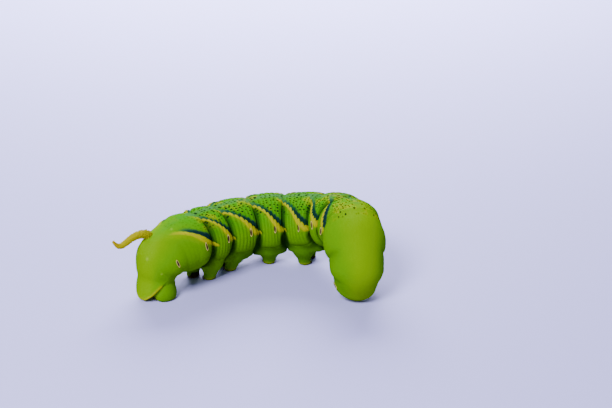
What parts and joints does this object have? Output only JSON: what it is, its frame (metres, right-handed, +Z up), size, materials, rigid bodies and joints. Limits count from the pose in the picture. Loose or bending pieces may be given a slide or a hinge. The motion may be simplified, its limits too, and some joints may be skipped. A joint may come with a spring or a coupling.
{
  "type": "death's-head hawkmoth larva model",
  "caption": "Life-size still larva of a hawkmoth, bent in a C with its head tucked under, oblique flank stripes and a rough curved tail horn, resting on prolegs.",
  "frame": {"origin": "bottom centre of the bounding box, on the floor under the middle of the bend", "axes": "+X the way the middle of the body heads, +Z up, the open side of the bend towards -Y"},
  "size_m": [0.0679, 0.0383, 0.0221],
  "materials": {
    "abdomen_skin": "soft green skin, satin, with oblique yellow stripes edged with blue, and fine dark dots on the back",
    "thorax_skin": "smooth lime-green skin, satin",
    "head_capsule": "green head capsule with dark cheek bands, slightly glossy",
    "horn_skin": "ochre-yellow, rough with small warts",
    "leg_shell": "dark horny leg, slightly glossy",
    "mouth_parts": "dark brown, hard"
  },
  "bodies": {
    "root": {"head": "head_capsule", "prothorax": "thorax_skin", "mesothorax": "thorax_skin", "metathorax": "thorax_skin", "abdomen_1": "abdomen_skin", "abdomen_2": "abdomen_skin", "abdomen_3": "abdomen_skin", "abdomen_4": "abdomen_skin", "abdomen_5": "abdomen_skin", "abdomen_6": "abdomen_skin", "abdomen_7": "abdomen_skin", "abdomen_8": "abdomen_skin", "abdomen_9_10": "abdomen_skin", "anal_plate": "abdomen_skin", "horn": "horn_skin", "antenna_left": "head_capsule", "mandible_left": "mouth_parts", "clasper_left": "abdomen_skin", "leg_prothorax_left": "leg_shell", "leg_mesothorax_left": "leg_shell", "leg_metathorax_left": "leg_shell", "proleg_3_left": "abdomen_skin", "proleg_4_left": "abdomen_skin", "proleg_5_left": "abdomen_skin", "proleg_6_left": "abdomen_skin", "antenna_right": "head_capsule", "mandible_right": "mouth_parts", "clasper_right": "abdomen_skin", "leg_prothorax_right": "leg_shell", "leg_mesothorax_right": "leg_shell", "leg_metathorax_right": "leg_shell", "proleg_3_right": "abdomen_skin", "proleg_4_right": "abdomen_skin", "proleg_5_right": "abdomen_skin", "proleg_6_right": "abdomen_skin", "labrum": "head_capsule"}
  },
  "joints": []
}
